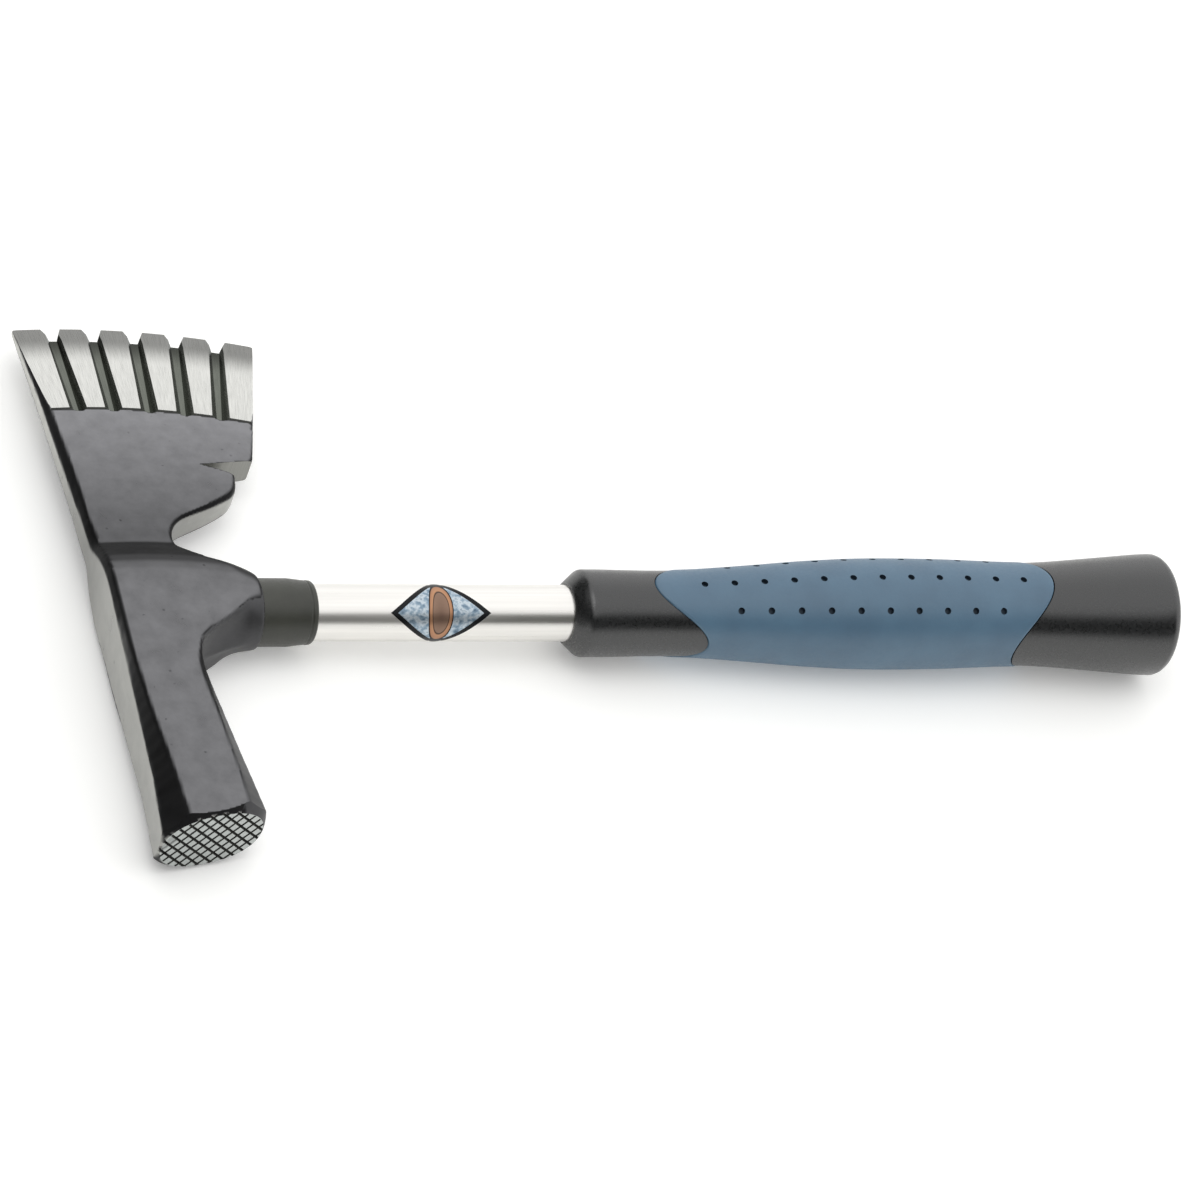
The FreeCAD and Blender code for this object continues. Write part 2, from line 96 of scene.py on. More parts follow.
# ---------------------------------------------------------------- handle and grip
TUBE_RADIUS = 8.0
TUBE_WALL = 1.5
TUBE_END = 300.0
COLLAR_PROFILE = ((40.5, 8.05), (40.5, 9.35), (40.8, 9.5), (52.0, 9.5), (53.0, 9.42), (56.6, 8.98),
                  (57.0, 8.98), (57.2, 8.86), (57.6, 8.86), (57.8, 8.98), (58.7, 8.9), (59.1, 8.6),
                  (59.2, 8.3), (59.2, 8.05))
GRIP_PROFILE = ((139.6, 12.38), (145.0, 12.36), (161.0, 12.12), (172.0, 12.3), (182.0, 12.9), (194.6, 13.84),
                (206.0, 14.75), (222.7, 15.62), (236.0, 15.78), (251.0, 15.6), (273.5, 14.93), (283.0, 15.18),
                (296.0, 16.15), (314.7, 17.66), (318.0, 17.75))
SLEEVE_DEPTH = 1.6
LABEL_MIDDLE = 95.0
LABEL_WRAP = math.radians(80.0)

# ---------------------------------------------------------------- stage, in metres
FLOOR_SIZE = 9.0
FLOOR_GAP = 0.0002
CAMERA_TARGET = Vector((-0.010474, -0.006845, 0.01775))
LAMP_PLACE = Vector((-0.35, -0.15, 1.5))


class HeadSettings(bpy.types.PropertyGroup):
    """Sizes and colours of the forged head"""
    grain: bpy.props.FloatProperty(
        name="Forging grain", description="Voxel size that softens the forged edges",
        default=0.62 * MM, min=0.3 * MM, unit="LENGTH", precision=5)
    groove_floor: bpy.props.FloatProperty(
        name="Groove floor", description="Half width of the floor of a tooth groove",
        default=1.25 * MM, unit="LENGTH", precision=4)
    waffle_pitch: bpy.props.FloatProperty(
        name="Waffle pitch", description="Distance between the grooves of the striking face",
        default=2.7 * MM, unit="LENGTH", precision=4)
    lacquer: bpy.props.StringProperty(
        name="Lacquer", description="sRGB hex colour of the satin head", default="#707072")
    steel: bpy.props.StringProperty(
        name="Ground steel", description="sRGB hex colour of the ground teeth", default="#d2d2ce")


class HandleSettings(bpy.types.PropertyGroup):
    """Sizes and colours of the tube, collar and label"""
    plating: bpy.props.StringProperty(
        name="Plating", description="sRGB hex colour of the plated tube", default="#eceae6")
    collar: bpy.props.StringProperty(
        name="Collar", description="sRGB hex colour of the collar", default="#31322c")
    label_length: bpy.props.FloatProperty(
        name="Label length", description="Length of the foil label along the tube",
        default=29.5 * MM, unit="LENGTH", precision=4)
    label_turn: bpy.props.FloatProperty(
        name="Label turn", description="Turn of the label from the cheek side to the striking face",
        default=math.radians(41.5), subtype="ANGLE")


class GripSettings(bpy.types.PropertyGroup):
    """Sizes and colours of the two-part grip"""
    core: bpy.props.StringProperty(
        name="Core", description="sRGB hex colour of the hard core", default="#0a0c0e")
    sleeve: bpy.props.StringProperty(
        name="Sleeve", description="sRGB hex colour of the soft sleeve", default="#43637b")
    proud: bpy.props.FloatProperty(
        name="Sleeve rise", description="How far the sleeve stands above the core",
        default=0.22 * MM, unit="LENGTH", precision=5)
    dimple_radius: bpy.props.FloatProperty(
        name="Dimple radius", description="Radius of the dimples in the sleeve",
        default=1.0 * MM, unit="LENGTH", precision=5)


class StageSettings(bpy.types.PropertyGroup):
    """Camera, floor and light"""
    azimuth: bpy.props.FloatProperty(
        name="Azimuth", description="Camera's turn about Z", default=math.radians(-31.09), subtype="ANGLE")
    elevation: bpy.props.FloatProperty(
        name="Elevation", description="Camera's height above the horizon",
        default=math.radians(44.20), subtype="ANGLE")
    roll: bpy.props.FloatProperty(
        name="Roll", description="Camera's turn about its own axis",
        default=math.radians(22.99), subtype="ANGLE")
    distance: bpy.props.FloatProperty(
        name="Distance", description="Camera's distance from its target", default=1.6, unit="LENGTH")
    lens: bpy.props.FloatProperty(
        name="Lens", description="Focal length in millimetres on a 36 mm sensor", default=170.07)


# ---------------------------------------------------------------- modelling helpers

def alone(obj):
    """Leaves only this object selected and active."""
    bpy.ops.object.select_all(action="DESELECT")
    obj.select_set(True)
    bpy.context.view_layer.objects.active = obj
    return obj


def lay(obj, points):
    """Moves the vertices of a new primitive to their places, given in millimetres."""
    obj.data.vertices.foreach_set("co", [c * MM for point in points for c in point])
    obj.data.update()


def close_up(obj, caps=True):
    """Merges seams, fills open ends and turns every face outwards."""
    alone(obj)
    bpy.ops.object.mode_set(mode="EDIT")
    bpy.ops.mesh.select_all(action="SELECT")
    bpy.ops.mesh.remove_doubles(threshold=1e-6)
    bpy.ops.mesh.delete_loose()
    if caps:
        bpy.ops.mesh.select_all(action="SELECT")
        bpy.ops.mesh.fill_holes(sides=0)
    bpy.ops.mesh.select_all(action="SELECT")
    bpy.ops.mesh.normals_make_consistent(inside=False)
    bpy.ops.object.mode_set(mode="OBJECT")
    return obj


def skin(rings, row_closed=False):
    """A grid whose rows are laid on closed rings, capped at its ends or closed from last to first."""
    columns = [list(ring) + [ring[0]] for ring in rings]
    if row_closed:
        columns.append(columns[0])
    bpy.ops.object.select_all(action="DESELECT")
    bpy.ops.mesh.primitive_grid_add(x_subdivisions=len(columns[0]) - 1, y_subdivisions=len(columns) - 1)
    obj = bpy.context.object
    lay(obj, [point for ring in columns for point in ring])
    return close_up(obj, caps=not row_closed)


def turn(section, axis="X", centre=(0.0, 0.0, 0.0), angle=2 * math.pi, steps=144):
    """Spins a closed section about an axis."""
    bpy.ops.object.select_all(action="DESELECT")
    bpy.ops.mesh.primitive_circle_add(vertices=len(section), fill_type="NOTHING")
    obj = bpy.context.object
    lay(obj, section)
    bpy.ops.object.mode_set(mode="EDIT")
    bpy.ops.mesh.select_all(action="SELECT")
    bpy.ops.mesh.spin(steps=steps, angle=angle, center=Vector(centre) * MM,
                      axis=(1, 0, 0) if axis == "X" else (0, 0, 1))
    bpy.ops.object.mode_set(mode="OBJECT")
    return close_up(obj)


def combine(obj, tool, operation="DIFFERENCE"):
    """Cuts with or joins another body, which is used up and leaves its material on the faces it makes."""
    alone(obj)
    bpy.ops.object.modifier_add(type="BOOLEAN")
    change = obj.modifiers[-1]
    change.operation = operation
    change.solver = "EXACT"
    change.material_mode = "TRANSFER"
    change.object = tool
    bpy.ops.object.modifier_apply(modifier=change.name)
    bpy.data.objects.remove(tool)
    return obj


def modify(obj, kind, **settings):
    """Adds one modifier with its settings and applies it."""
    alone(obj)
    bpy.ops.object.modifier_add(type=kind)
    change = obj.modifiers[-1]
    for key, setting in settings.items():
        setattr(change, key, setting)
    bpy.ops.object.modifier_apply(modifier=change.name)
    return obj


def gather(objects):
    """Joins several bodies into one object."""
    bpy.ops.object.select_all(action="DESELECT")
    for obj in objects:
        obj.select_set(True)
    bpy.context.view_layer.objects.active = objects[0]
    if len(objects) > 1:
        bpy.ops.object.join()
    return bpy.context.object


def eased(share):
    """Keeps a share between 0 and 1 and softens both ends."""
    share = min(max(share, 0.0), 1.0)
    return share * share * (3 - 2 * share)


def mark_draft(obj):
    """Stores how far each point leans: draft is 1 on bevelled flanks, wall is 1 on upright faces, as masks
    for the lacquer's painted shade and painted light.
    """
    draft = obj.data.attributes.new("draft", "FLOAT", "POINT")
    wall = obj.data.attributes.new("wall", "FLOAT", "POINT")
    for vertex in obj.data.vertices:
        normal, place = vertex.normal, vertex.co / MM
        flat, up = math.hypot(normal.x, normal.y), abs(normal.z)
        lean, rise = (min(flat, up) - 0.1) / 0.28, (flat - 0.94) / 0.05
        # in the hollow under the socket the walls get no painted light, and on the striking face's side of
        # the handle the painted shade is held at a middle strength
        if place.x > 21.5 and place.y < 20.0 and up < 0.93:
            lean, rise = (0.55 if place.y < 0.0 else lean), 0.0
        draft.data[vertex.index].value = eased(lean)
        wall.data[vertex.index].value = eased(rise)


def keep_main_shell(obj):
    """Deletes whatever is not joined to the first vertex."""
    alone(obj)
    bpy.ops.object.mode_set(mode="EDIT")
    bpy.ops.mesh.select_mode(type="VERT")
    bpy.ops.mesh.select_all(action="DESELECT")
    bpy.ops.object.mode_set(mode="OBJECT")
    obj.data.vertices[0].select = True
    bpy.ops.object.mode_set(mode="EDIT")
    bpy.ops.mesh.select_linked()
    bpy.ops.mesh.select_all(action="INVERT")
    bpy.ops.mesh.delete(type="VERT")
    bpy.ops.object.mode_set(mode="OBJECT")
    return obj


def set_down(obj, name, stands_for, sharp=30.0):
    """Shades the finished piece, moves its mesh to its place in the frame and makes it ride."""
    alone(obj)
    bpy.ops.object.shade_smooth_by_angle(angle=math.radians(sharp))
    obj.location = ORIGIN
    bpy.ops.object.transform_apply(location=True, rotation=True, scale=True)
    obj.name = obj.data.name = name
    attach(obj, "root")
    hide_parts(stands_for)
    return obj


def paint(obj, *materials):
    """Gives the object these material slots."""
    obj.data.materials.clear()
    for material in materials:
        obj.data.materials.append(material)
    return obj


# ---------------------------------------------------------------- material helpers

def linear(code):
    """An sRGB hex colour as linear RGBA."""
    parts = [int(code[i:i + 2], 16) / 255 for i in (1, 3, 5)]
    return [c / 12.92 if c <= 0.04045 else ((c + 0.055) / 1.055) ** 2.4 for c in parts] + [1.0]


def node(tree, kind, inputs=None, stops=None, **settings):
    """Adds a node, sets its properties and colour stops, and links or sets its inputs."""
    made = tree.nodes.new(kind)
    for key, setting in settings.items():
        setattr(made, key, setting)
    if stops:
        ramp = made.color_ramp
        while len(ramp.elements) < len(stops):
            ramp.elements.new(1.0)
        for element, (place, colour) in zip(ramp.elements, stops):
            element.position = place
            element.color = linear(colour)
    for key, entry in (inputs or {}).items():
        if isinstance(entry, bpy.types.NodeSocket):
            tree.links.new(entry, made.inputs[key])
        else:
            made.inputs[key].default_value = entry
    return made


def material(name, **constants):
    """A new material with a Principled shader whose constant values are set on its own sockets."""
    made = bpy.data.materials.new(name)
    made.use_nodes = True
    shader = made.node_tree.nodes["Principled BSDF"]
    for key, constant in constants.items():
        shader.inputs[key.replace("_", " ")].default_value = constant
    return made, made.node_tree, shader


def blade_places(tree):
    """Places on the head, the same measured from the blade's centre, and how far out they are in plan."""
    place = node(tree, "ShaderNodeTexCoord").outputs["Object"]
    centre = ORIGIN + Vector((*FAN, 0.0)) * MM
    centred = node(tree, "ShaderNodeVectorMath", {0: place, 1: centre}, operation="SUBTRACT").outputs[0]
    flat = node(tree, "ShaderNodeVectorMath", {0: centred, 1: (1.0, 1.0, 0.0)}, operation="MULTIPLY")
    radius = node(tree, "ShaderNodeVectorMath", {0: flat.outputs[0]}, operation="LENGTH")
    return place, centred, radius.outputs["Value"]


def forged_lacquer(code):
    """Drop-forged steel under thin grey satin lacquer: a slightly uneven dark sheen with small pits, with
    painted shade on the leaning flanks and at the blade's root and painted light on the upright walls.
    """
    made, tree, shader = material("satin_lacquered_forging", Metallic=1.0)
    place, _, radius = blade_places(tree)
    # painted shade darkens the drafted flanks almost to black, and painted light brightens the upright walls
    draft = node(tree, "ShaderNodeAttribute", attribute_name="draft").outputs["Fac"]
    wall = node(tree, "ShaderNodeAttribute", attribute_name="wall").outputs["Fac"]
    scale = node(tree, "ShaderNodeMapRange", {0: draft, 3: 1.0, 4: 0.12})
    painted_wall_light = node(tree, "ShaderNodeMix", {0: wall, 6: (1.0, 1.0, 1.0, 1.0), 7: (2.35, 2.35, 2.15, 1.0)},
                    data_type="RGBA")
    # painted shade, darkest at the root of the blade, which gets lighter towards the ground bevel
    root_start, root_end, bevel = 0.118, 0.142, BEVEL_RADIUS * MM
    root = node(tree, "ShaderNodeMapRange", {0: radius, 1: root_start, 2: root_end, 3: 0.93, 4: 0.58})
    blade = node(tree, "ShaderNodeMapRange", {0: radius, 1: root_end, 2: bevel, 3: 1.0, 4: 2.35})
    mottle = node(tree, "ShaderNodeTexNoise",
                  {"Vector": place, "Scale": 180.0, "Detail": 5.0, "Roughness": 0.6}).outputs["Fac"]
    tint = node(tree, "ShaderNodeMapRange", {0: mottle, 1: 0.3, 2: 0.7, 3: 0.86, 4: 1.14})
    # pits in the scale, about 4 mm apart where they come at all
    pits = node(tree, "ShaderNodeTexVoronoi", {"Vector": place, "Scale": 260.0, "Randomness": 1.0})
    pit = node(tree, "ShaderNodeMapRange", {0: pits.outputs["Distance"], 1: 0.05, 2: 0.16, 3: 0.55, 4: 1.0})
    rare = node(tree, "ShaderNodeTexNoise", {"Vector": place, "Scale": 300.0, "Detail": 1.0})
    chosen = node(tree, "ShaderNodeMapRange", {0: rare.outputs["Fac"], 1: 0.56, 2: 0.6})
    pitted = node(tree, "ShaderNodeMix", {0: chosen.outputs[0], 2: 1.0, 3: pit.outputs[0]}, data_type="FLOAT")
    shades = painted_wall_light.outputs[2]
    for factor in (scale, root, blade, tint, pitted):
        shades = node(tree, "ShaderNodeVectorMath", {0: shades, 1: factor.outputs[0]},
                      operation="MULTIPLY").outputs[0]
    colour = node(tree, "ShaderNodeVectorMath", {0: shades, 1: linear(code)[:3]}, operation="MULTIPLY")
    tree.links.new(colour.outputs[0], shader.inputs["Base Color"])
    satin = node(tree, "ShaderNodeMapRange", {0: mottle, 1: 0.3, 2: 0.7, 3: 0.27, 4: 0.38})
    rough = node(tree, "ShaderNodeMath", {0: draft, 1: 0.22, 2: satin.outputs[0]}, operation="MULTIPLY_ADD")
    tree.links.new(rough.outputs[0], shader.inputs["Roughness"])
    waves = node(tree, "ShaderNodeTexNoise", {"Vector": place, "Scale": 75.0, "Detail": 2.0})
    low = node(tree, "ShaderNodeBump", {"Height": waves.outputs["Fac"], "Strength": 0.35, "Distance": 0.0006})
    fine = node(tree, "ShaderNodeBump", {"Height": mottle, "Strength": 0.35, "Distance": 0.0002,
                                         "Normal": low.outputs["Normal"]})
    deep = node(tree, "ShaderNodeBump", {"Height": pitted.outputs[0], "Strength": 0.5, "Distance": 0.0002,
                                         "Normal": fine.outputs["Normal"]})
    tree.links.new(deep.outputs["Normal"], shader.inputs["Normal"])
    return made


def ground_steel(name, code, roughness, streaks=True):
    """Bare steel ground lengthwise on the teeth: fine bright streaks that run towards the cutting edge."""
    made, tree, shader = material(name, Metallic=1.0)
    _, centred, radius = blade_places(tree)
    parts = node(tree, "ShaderNodeSeparateXYZ", {0: centred}).outputs
    angle = node(tree, "ShaderNodeMath", {0: parts["X"], 1: parts["Y"]}, operation="ARCTAN2")
    # 0.25 mm grit lines, 6 mm long: drawn coarser than real so that they show
    polar = node(tree, "ShaderNodeCombineXYZ", {0: angle.outputs[0], 1: radius, 2: parts["Z"]})
    stretched = node(tree, "ShaderNodeVectorMath", {0: polar.outputs[0], 1: (850.0, 160.0, 40.0)},
                     operation="MULTIPLY")
    grit = node(tree, "ShaderNodeTexNoise", {"Vector": stretched.outputs[0], "Scale": 1.0, "Detail": 4.0,
                                             "Roughness": 0.65}).outputs["Fac"]
    tint = node(tree, "ShaderNodeMapRange", {0: grit, 1: 0.25, 2: 0.75, 3: 0.72, 4: 1.12})
    # the steel gets darker over the last 10 mm of the grinding before the tips
    bright, dull = (TIP_RADIUS - 9.5) * MM, (TIP_RADIUS + 0.5) * MM
    tip_darkening = node(tree, "ShaderNodeMapRange", {0: radius, 1: bright, 2: dull, 3: 1.0, 4: 0.36},
                interpolation_type="SMOOTHSTEP")
    shade = node(tree, "ShaderNodeMath", {0: tint.outputs[0], 1: tip_darkening.outputs[0]}, operation="MULTIPLY")
    colour = node(tree, "ShaderNodeVectorMath", {0: shade.outputs[0], 1: linear(code)[:3]},
                  operation="MULTIPLY")
    tree.links.new(colour.outputs[0], shader.inputs["Base Color"])
    rough = node(tree, "ShaderNodeMapRange", {0: grit, 1: 0.3, 2: 0.7, 3: roughness - 0.08,
                                              4: roughness + 0.08})
    tree.links.new(rough.outputs[0], shader.inputs["Roughness"])
    if streaks:
        bump = node(tree, "ShaderNodeBump", {"Height": grit, "Strength": 0.4, "Distance": 0.0001})
        tree.links.new(bump.outputs["Normal"], shader.inputs["Normal"])
    return made


def painted_shade_line(name):
    """Painted shade, matt and almost black: beside the grinding, on the heel's broken edges and in the waffle
    grooves.
    """
    made, tree, shader = material(name, Metallic=0.0, Roughness=0.7)
    place = node(tree, "ShaderNodeTexCoord").outputs["Object"]
    mottle = node(tree, "ShaderNodeTexNoise", {"Vector": place, "Scale": 500.0, "Detail": 3.0})
    colour = node(tree, "ShaderNodeValToRGB", {0: mottle.outputs["Fac"]},
                  stops=[(0.3, "#151612"), (0.7, "#2e2f2a")])
    tree.links.new(colour.outputs["Color"], shader.inputs["Base Color"])
    return made


def plated_tube(code):
    """Nickel-plated drawn steel: a bright mirror with faint draw lines along the tube."""
    made, tree, shader = material("nickel_plated_steel", Metallic=1.0)
    place = node(tree, "ShaderNodeTexCoord").outputs["Object"]
    lines = node(tree, "ShaderNodeMapping", {"Vector": place, "Scale": (12.0, 900.0, 900.0)})
    drawn = node(tree, "ShaderNodeTexNoise", {"Vector": lines.outputs[0], "Scale": 1.0, "Detail": 3.0})
    tint = node(tree, "ShaderNodeMapRange", {0: drawn.outputs["Fac"], 1: 0.3, 2: 0.7, 3: 0.9, 4: 1.0})
    colour = node(tree, "ShaderNodeVectorMath", {0: tint.outputs[0], 1: linear(code)[:3]},
                  operation="MULTIPLY")
    tree.links.new(colour.outputs[0], shader.inputs["Base Color"])
    rough = node(tree, "ShaderNodeMapRange", {0: drawn.outputs["Fac"], 1: 0.3, 2: 0.7, 3: 0.27, 4: 0.35})
    tree.links.new(rough.outputs[0], shader.inputs["Roughness"])
    return made


def moulded(name, low, high, roughness, grain, depth, **constants):
    """Injection-moulded plastic or rubber: even colour, slightly cloudy, with a fine spark-eroded grain."""
    made, tree, shader = material(name, Metallic=0.0, **constants)
    place = node(tree, "ShaderNodeTexCoord").outputs["Object"]
    cloud = node(tree, "ShaderNodeTexNoise", {"Vector": place, "Scale": 90.0, "Detail": 4.0})
    colour = node(tree, "ShaderNodeValToRGB", {0: cloud.outputs["Fac"]}, stops=[(0.3, low), (0.7, high)])
    tree.links.new(colour.outputs["Color"], shader.inputs["Base Color"])
    texture = node(tree, "ShaderNodeTexNoise",
                   {"Vector": place, "Scale": grain, "Detail": 2.0, "Roughness": 0.6}).outputs["Fac"]
    rough = node(tree, "ShaderNodeMapRange", {0: texture, 1: 0.3, 2: 0.7, 3: roughness - 0.06,
                                              4: roughness + 0.06})
    tree.links.new(rough.outputs[0], shader.inputs["Roughness"])
    bump = node(tree, "ShaderNodeBump", {"Height": texture, "Strength": 0.5, "Distance": depth})
    tree.links.new(bump.outputs["Normal"], shader.inputs["Normal"])
    return made


# ---------------------------------------------------------------- head shape

def half_thickness(x, y):
    """Half the head's thickness at a place in its plan."""
    radius = math.hypot(x - FAN[0], y - FAN[1])
    if radius <= BLADE_PROFILE[0][0]:
        return CHEEK
    for (r0, z0), (r1, z1) in zip(BLADE_PROFILE, BLADE_PROFILE[1:]):
        if radius <= r1:
            return min(CHEEK, z0 + (z1 - z0) * (radius - r0) / (r1 - r0))
    return BLADE_PROFILE[-1][1]


def on_fan(radius, degrees, z=None):
    """A place given by its distance and angle from the blade's centre."""
    x = FAN[0] + radius * math.sin(math.radians(degrees))
    y = FAN[1] + radius * math.cos(math.radians(degrees))
    return (x, y) if z is None else (x, y, z)


def smooth_path(corners, steps=6):
    """A Catmull-Rom curve through the corners, each a row of numbers."""
    points = []
    ends = [corners[0]] + list(corners) + [corners[-1]]
    for before, start, stop, after in zip(ends, ends[1:], ends[2:], ends[3:]):
        for step in range(steps):
            t = step / steps
            points.append(tuple(
                0.5 * (2 * b + (c - a) * t + (2 * a - 5 * b + 4 * c - d) * t * t
                       + (3 * b - a - 3 * c + d) * t ** 3)
                for a, b, c, d in zip(before, start, stop, after)))
    points.append(tuple(corners[-1]))
    return points


# Underside of the blade: rounded heel corner, lower lip of the notch, beard and throat.
BEARD = ((53.9, 55.2), (53.2, 53.2), (51.8, 51.9), (49.8, 50.6), (48.0, 48.9), (47.1, 46.9), (46.7, 44.6),
         (45.9, 42.0), (44.1, 39.6), (40.6, 37.2), (36.7, 35.0), (31.8, 32.6), (27.6, 30.4), (25.0, 27.9),
         (23.6, 24.8), (23.4, 21.6), (24.4, 18.9), (26.4, 16.6), (29.0, 14.4))
# From the tongue of the socket to the poll, and round the poll to the crown.
HUB = ((30.0, 9.0), (28.0, -8.0), (25.0, -14.0), (23.2, -17.0), (21.9, -19.6), (21.2, -22.0), (21.1, -25.0))
POLL = ((30.15, -81.0), (-1.4, -87.3), (0.0, -62.0))
CROWN_FOOT = ((0.0, 8.0), (-0.15, 14.0), (-0.6, 24.0), (-1.1, 34.0), (-3.8, 76.0))


def head_blank():
    """The plan of the head as a slab of full thickness."""
    edge = [on_fan(EDGE_RADIUS, -TOE_ANGLE + (TOE_ANGLE + HEEL_ANGLE) * i / 24) for i in range(25)]
    plan = edge + smooth_path(BEARD, 4) + list(HUB) + list(POLL) + list(CROWN_FOOT)
    return skin([[(x, y, z) for x, y in plan] for z in (-CHEEK, CHEEK)])


def thinning(side):
    """A sector of a ring that takes the blade down to its thickness on one side."""
    section = [(117.0, 12.4)] + list(BLADE_PROFILE) + [(232.0, 14.0), (117.0, 14.0)]
    points = [on_fan(r, -14.0, side * z) for r, z in section]
    return turn(points, "Z", (FAN[0], FAN[1], 0.0), math.radians(36.0), 90)


def edge_bar(path, side, outward, reach=3.0):
    """A tapered three-sided bar along an edge of a cheek; path holds x, y, inward leg and downward leg."""
    rings = []
    for i, (x, y, inward, down) in enumerate(path):
        before, after = path[max(i - 1, 0)], path[min(i + 1, len(path) - 1)]
        way = Vector((after[0] - before[0], after[1] - before[1])).normalized()
        out = Vector((way.y, -way.x)) * outward
        top = half_thickness(x, y)
        slope = Vector((inward, down)).normalized() * reach
        low = (out * slope.x, top - down - slope.y)
        high = (out * (-inward - slope.x), top + slope.y)
        far = (out * (reach + slope.x), top + reach + slope.y)
        rings.append([(x + across.x, y + across.y, side * z) for across, z in (low, far, high)])
    return skin(rings)


CROWN_EDGE = ((-6.9, 112.0, 1.3, 1.2), (-3.7, 75.0, 1.5, 1.3), (-1.6, 45.0, 1.6, 1.9), (-1.1, 33.0, 1.4, 2.3),
              (-0.6, 24.0, 1.7, 2.2), (-0.3, 19.0, 1.5, 2.2), (-0.1, 13.0, 1.3, 2.2), (0.0, 7.0, 1.2, 2.2),
              (0.0, -3.0, 1.2, 2.3), (0.0, -19.0, 1.1, 3.5), (0.0, -32.0, 1.7, 4.1), (0.0, -44.0, 2.5, 4.5),
              (0.0, -58.0, 4.0, 5.0), (-0.5, -70.0, 5.6, 5.3), (-1.6, -92.0, 8.4, 5.6))
POLL_EDGE = ((21.1, -22.6, 0.7, 0.8), (21.5, -27.5, 2.0, 2.2), (22.6, -34.0, 2.8, 3.2),
             (24.5, -46.0, 3.4, 3.9), (25.9, -55.0, 4.1, 4.4), (27.4, -64.0, 4.9, 4.8),
             (29.0, -74.0, 6.1, 5.2), (31.2, -90.0, 7.6, 5.6))


def socket_blank():
    """The swelling that holds the tube: square at the hub, round at the collar, hollow under the tongue."""
    # along the handle, upper half width, edge of the tongue, belly, half height, squareness, roundness below
    stations = ((12.0, 19.0, 17.8, 18.2, 10.8, 7.0, 0.0), (18.0, 18.7, 18.6, 19.4, 10.9, 6.5, 0.0),
                (21.0, 17.9, 18.6, 19.6, 10.94, 6.0, 0.0), (24.1, 16.4, 16.6, 17.4, 10.97, 5.4, 0.0),
                (27.0, 15.1, 14.0, 15.8, 10.97, 5.0, 0.0), (32.0, 13.6, 10.6, 13.7, 10.95, 4.2, 0.05),
                (36.0, 12.6, 8.2, 12.3, 10.85, 3.5, 0.3), (39.5, 11.6, 7.0, 11.2, 10.65, 2.8, 0.75),
                (41.8, 10.8, 7.0, 10.6, 10.5, 2.35, 1.0), (42.7, 10.5, 7.0, 10.45, 10.4, 2.1, 1.0),
                (43.2, 10.1, 7.0, 10.1, 10.1, 2.0, 1.0))
    rings = []
    for x, upper, tongue, belly, height, power, roundness in smooth_path(stations, 4):
        ring = []
        for i in range(33):
            angle = math.pi * (i / 32 - 0.5)
            c, lift = math.cos(angle), math.sin(angle)
            ring.append((x, abs(c) ** (2 / power) * upper,
                         math.copysign(abs(lift) ** (2 / power), lift) * height))
        for i in range(33):
            z = (1 - i / 16) * (height - 0.25)
            hollow = tongue + (belly - tongue) * (1 - abs(1 - i / 16)) ** 1.5
            arc = belly * math.sqrt(max(1 - (z / height) ** 2, 0.0))
            ring.append((x, -hollow - (arc - hollow) * min(max(roundness, 0.0), 1.0), z))
        rings.append(ring)
    return skin(rings)


def eye_cutter():
    """The eye for the tube and the wider mouth that the collar sits in."""
    section = [(EYE_END, 0.0), (EYE_END, 8.05), (40.3, 8.05), (40.3, 9.65), (48.0, 9.65), (48.0, 0.0)]
    return turn([(x, 0.0, r) for x, r in section], steps=96)


def bevel_cutter(side, steel, edge_shade):
    """The grinding wheel's path over the teeth, with a line of painted shade where it stops at the cheek."""
    section = [(BEVEL_RADIUS - 0.85, 5.2), (BEVEL_RADIUS - 0.85, 3.76), (BEVEL_RADIUS - 0.35, 3.3),
               (BEVEL_RADIUS + 0.3, 3.5), (TIP_RADIUS, 1.2), (EDGE_RADIUS + 0.6, 0.3),
               (EDGE_RADIUS + 3.0, 0.3), (EDGE_RADIUS + 3.0, 5.2)]
    points = [on_fan(r, -9.0, side * z) for r, z in section]
    tool = paint(turn(points, "Z", (FAN[0], FAN[1], 0.0), math.radians(26.0), 65), steel, edge_shade)
    # faces along the bevel line take the near-black painted shade
    for face in tool.data.polygons:
        x, y, _ = face.center / MM
        if math.hypot(x - FAN[0], y - FAN[1]) < BEVEL_RADIUS + 0.15:
            face.material_index = 1
    return tool


def groove_cutter(degrees, side, floor, steel):
    """One milled groove between two teeth: its floor slopes to the cutting edge and its flanks splay."""
    across = Vector((math.cos(math.radians(degrees)), -math.sin(math.radians(degrees))))
    zero, lift_at_bevel, height, splay = 220.6, 1.45, 3.5, 0.9
    slope = lift_at_bevel / (zero - BEVEL_RADIUS)
    rings = []
    for radius, lift, half in ((BEVEL_RADIUS - 1.6, 2.7, 0.55), (BEVEL_RADIUS - 0.2, 0.0, 0.55),
                               (EDGE_RADIUS + 4.0, 0.0, 1.0)):
        z = (zero - radius) * slope + lift
        middle = Vector(on_fan(radius, degrees))
        ring = []
        for offset, up in ((-1, 0.0), (1, 0.0), (1, height), (-1, height)):
            place = middle + across * offset * (floor * half + up * splay)
            ring.append((place.x, place.y, side * (z + up)))
        rings.append(ring)
    return paint(skin(rings), steel)


def gap_cutter(degrees, floor, steel):
    """The splayed gap at the cutting edge where the grooves of both sides meet."""
    across = Vector((math.cos(math.radians(degrees)), -math.sin(math.radians(degrees))))
    bottom, mouth = (TIP_RADIUS + 0.7, floor * 0.9), (EDGE_RADIUS + 1.5, floor * 2.8)
    rings = []
    for z in (-CHEEK, CHEEK):
        rings.append([(*(Vector(on_fan(radius, degrees)) + across * half * way), z)
                      for way, (radius, half) in ((-1, bottom), (1, bottom), (1, mouth), (-1, mouth))])
    return paint(skin(rings), steel)


